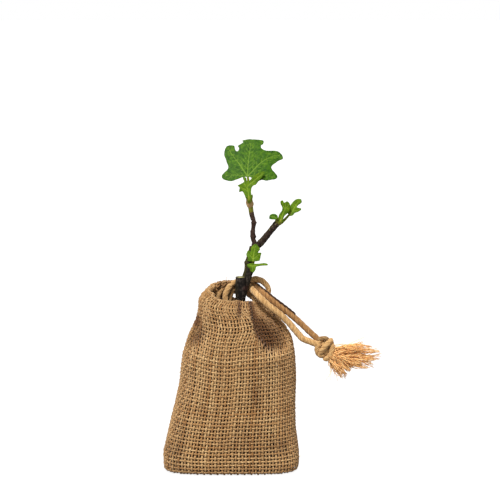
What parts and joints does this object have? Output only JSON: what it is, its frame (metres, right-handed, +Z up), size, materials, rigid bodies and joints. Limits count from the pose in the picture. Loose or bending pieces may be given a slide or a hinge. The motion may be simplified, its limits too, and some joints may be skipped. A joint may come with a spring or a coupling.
{
  "type": "fig sapling with bagged root ball",
  "caption": "Young fig sapling with a forked stem and lobed leaves, rooted in soil inside a burlap drawstring pouch with a knotted, frayed cord.",
  "frame": {"origin": "middle of the pouch's flat underside, on the ground", "axes": "+X to the right along the pouch's width, towards the tassel; +Y to the back; +Z up along the stem"},
  "size_m": [0.1603, 0.0526, 0.247],
  "materials": {
    "burlap": "matte",
    "soil": "matte",
    "bark": "matte",
    "green_stem": "satin",
    "leaf": "satin",
    "young_leaf": "satin",
    "jute_cord": "matte",
    "frayed_jute": "matte"
  },
  "bodies": {
    "root": {"bag": "burlap", "root_ball": "soil", "trunk": "bark", "leader": "bark", "side_branch": "bark", "top_shoot": "green_stem", "side_shoot": "green_stem", "low_shoot": "green_stem", "large_leaf": "leaf", "small_top_leaf": "young_leaf", "side_leaf_left": "leaf", "side_leaf_middle": "young_leaf", "side_leaf_right": "young_leaf", "low_leaf_upper": "young_leaf", "low_leaf_side": "young_leaf", "cord_front": "jute_cord", "cord_back": "jute_cord", "cord_loop": "jute_cord", "knot": "jute_cord", "tassel": "frayed_jute"}
  },
  "joints": []
}
